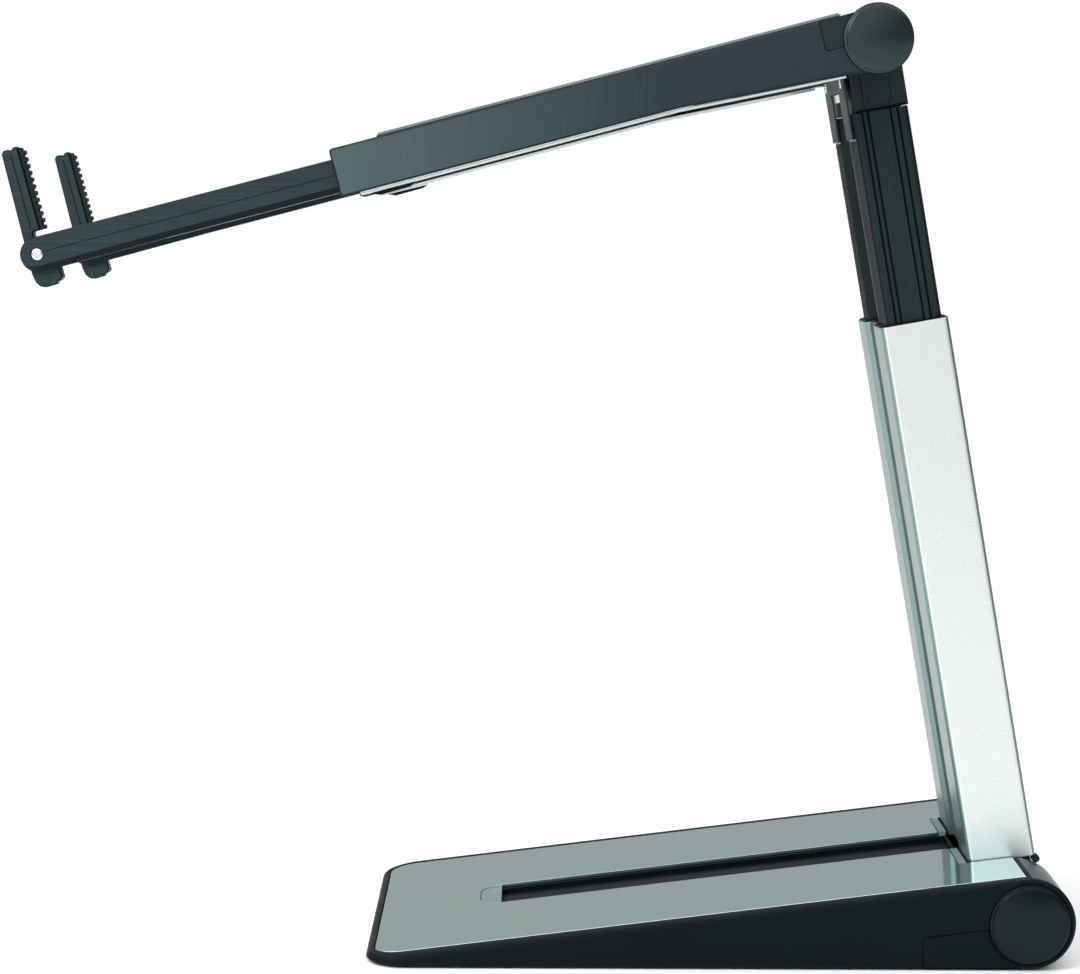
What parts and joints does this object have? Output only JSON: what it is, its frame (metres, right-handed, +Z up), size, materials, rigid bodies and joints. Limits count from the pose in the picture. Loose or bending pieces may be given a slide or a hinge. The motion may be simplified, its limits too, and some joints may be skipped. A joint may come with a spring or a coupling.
{
  "type": "folding device stand",
  "caption": "Folding device stand: low wedge base with a polished deck, hinged telescopic column and two telescopic arms with folding toothed stops.",
  "frame": {"origin": "middle of the base on the desk, in the plane of the rubber sole's underside", "axes": "+X from the front edge of the base to its rear hinge barrel, +Y across the base, +Z up. The stand faces -X, so its left is -Y."},
  "size_m": [0.385, 0.154, 0.3447],
  "materials": {
    "black_plastic": "fine-grained satin black with a slight green-blue tint",
    "dark_satin": "smooth satin dark grey",
    "polished_plate": "polished, mirror-like",
    "satin_aluminium": "fine bead-blasted satin",
    "black_anodised": "satin black anodised, extruded",
    "grey_plastic": "satin mid grey",
    "rubber": "matt black",
    "steel": "bright turned"
  },
  "bodies": {
    "base": {"base_shell": "black_plastic", "base_plate": "polished_plate", "slot_tray": "black_plastic", "slot_end_piece": "grey_plastic", "front_stop_left": "grey_plastic", "front_stop_right": "grey_plastic", "bottom_cover": "dark_satin", "rubber_sole": "rubber", "base_screw_1": "steel", "base_screw_2": "steel", "base_screw_3": "steel", "base_screw_4": "steel", "hub_shaft": "steel", "hub_nut_left": "steel", "hub_nut_right": "steel", "hub_washer_left": "steel", "hub_washer_right": "steel", "hub_cap_left": "dark_satin", "hub_cap_right": "dark_satin", "barrel_cover_left": "dark_satin", "barrel_cover_right": "dark_satin", "side_panel_left": "black_plastic", "side_panel_right": "black_plastic"},
    "column": {"column_tube": "satin_aluminium", "column_foot": "black_plastic", "mouth_glide_left": "black_plastic", "mouth_glide_right": "black_plastic", "rear_bumper_left": "rubber", "rear_bumper_right": "rubber"},
    "mast": {"mast_profile": "black_anodised", "mast_end_plug": "black_plastic", "mast_head": "black_plastic", "head_bracket": "grey_plastic", "arm_shaft": "steel"},
    "arm_left": {"arm_cover_left": "black_plastic", "arm_channel_left": "satin_aluminium", "top_strip_left": "grey_plastic", "bottom_strip_left": "satin_aluminium", "arm_wedge_left": "black_plastic", "arm_insert_left": "black_plastic", "arm_cap_left": "dark_satin", "arm_nut_left": "steel", "arm_washer_left": "steel"},
    "extension_left": {"extension_bar_left": "black_anodised", "stop_pin_left": "steel"},
    "stop_left": {"stop_finger_left": "black_plastic", "stop_pad_left": "rubber"},
    "arm_right": {"arm_cover_right": "black_plastic", "arm_channel_right": "satin_aluminium", "top_strip_right": "grey_plastic", "bottom_strip_right": "satin_aluminium", "arm_wedge_right": "black_plastic", "arm_insert_right": "black_plastic", "arm_cap_right": "dark_satin", "arm_nut_right": "steel", "arm_washer_right": "steel"},
    "extension_right": {"extension_bar_right": "black_anodised", "stop_pin_right": "steel"},
    "stop_right": {"stop_finger_right": "black_plastic", "stop_pad_right": "rubber"}
  },
  "joints": [
    {"name": "column_fold", "type": "hinge", "parent": "base", "child": "column", "pos_m": [0.1115, 0, 0.017], "axis": [0, 1, 0], "range_deg": [0, 100]},
    {"name": "column_lift", "type": "slide", "parent": "column", "child": "mast", "axis": [-0.1771, 0, 0.9842], "range_m": [-0.066, 0]},
    {"name": "arm_tilt_left", "type": "hinge", "parent": "mast", "child": "arm_left", "pos_m": [0.05307, 0, 0.33244], "axis": [0, -1, 0], "range_deg": [-30, 58]},
    {"name": "extension_slide_left", "type": "slide", "parent": "arm_left", "child": "extension_left", "axis": [-0.967, 0, -0.2546], "range_m": [-0.095, 0]},
    {"name": "stop_fold_left", "type": "hinge", "parent": "extension_left", "child": "stop_left", "pos_m": [-0.24429, 0, 0.25529], "axis": [0, 1, 0], "range_deg": [0, 90]},
    {"name": "arm_tilt_right", "type": "hinge", "parent": "mast", "child": "arm_right", "pos_m": [0.05307, 0, 0.33244], "axis": [0, -1, 0], "range_deg": [-30, 58]},
    {"name": "extension_slide_right", "type": "slide", "parent": "arm_right", "child": "extension_right", "axis": [-0.967, 0, -0.2546], "range_m": [-0.095, 0]},
    {"name": "stop_fold_right", "type": "hinge", "parent": "extension_right", "child": "stop_right", "pos_m": [-0.24429, 0, 0.25529], "axis": [0, 1, 0], "range_deg": [0, 90]}
  ]
}
